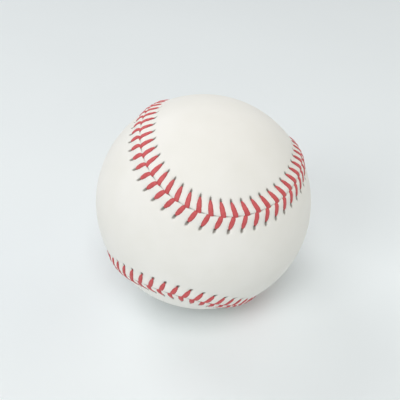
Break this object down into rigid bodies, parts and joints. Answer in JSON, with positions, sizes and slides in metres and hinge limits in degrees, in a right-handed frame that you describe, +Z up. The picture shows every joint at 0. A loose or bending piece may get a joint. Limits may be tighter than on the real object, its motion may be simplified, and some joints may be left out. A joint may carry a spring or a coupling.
{
  "type": "baseball",
  "caption": "White leather ball for throwing and batting: a cork-and-rubber centre wound with yarn, under figure-of-eight cover panels sewn edge to edge with raised red chevron stitches",
  "frame": {"origin": "the centre of the ball", "axes": "+Z is up as the ball lies in the picture, -Y faces the viewer, and +X is to the viewer's right"},
  "size_m": [0.0728, 0.0728, 0.0728],
  "materials": {
    "cork_rubber": "moulded cork granules in dark rubber, matte",
    "grey_yarn": "coarse grey wool-blend yarn, tightly wound",
    "white_yarn": "white wool-blend yarn, tightly wound",
    "fine_cotton": "fine white cotton-blend thread, tightly wound",
    "cover_leather": "smooth white cover leather with a faint grain and a low sheen",
    "red_thread": "thick waxed red sewing thread, matte"
  },
  "bodies": {
    "root": {"cork_rubber_centre": "cork_rubber", "grey_yarn_winding": "grey_yarn", "white_yarn_winding": "white_yarn", "finishing_winding": "fine_cotton", "cover_panel_a": "cover_leather", "cover_panel_b": "cover_leather", "stitching_thread_a": "red_thread", "stitching_thread_b": "red_thread"}
  },
  "joints": []
}
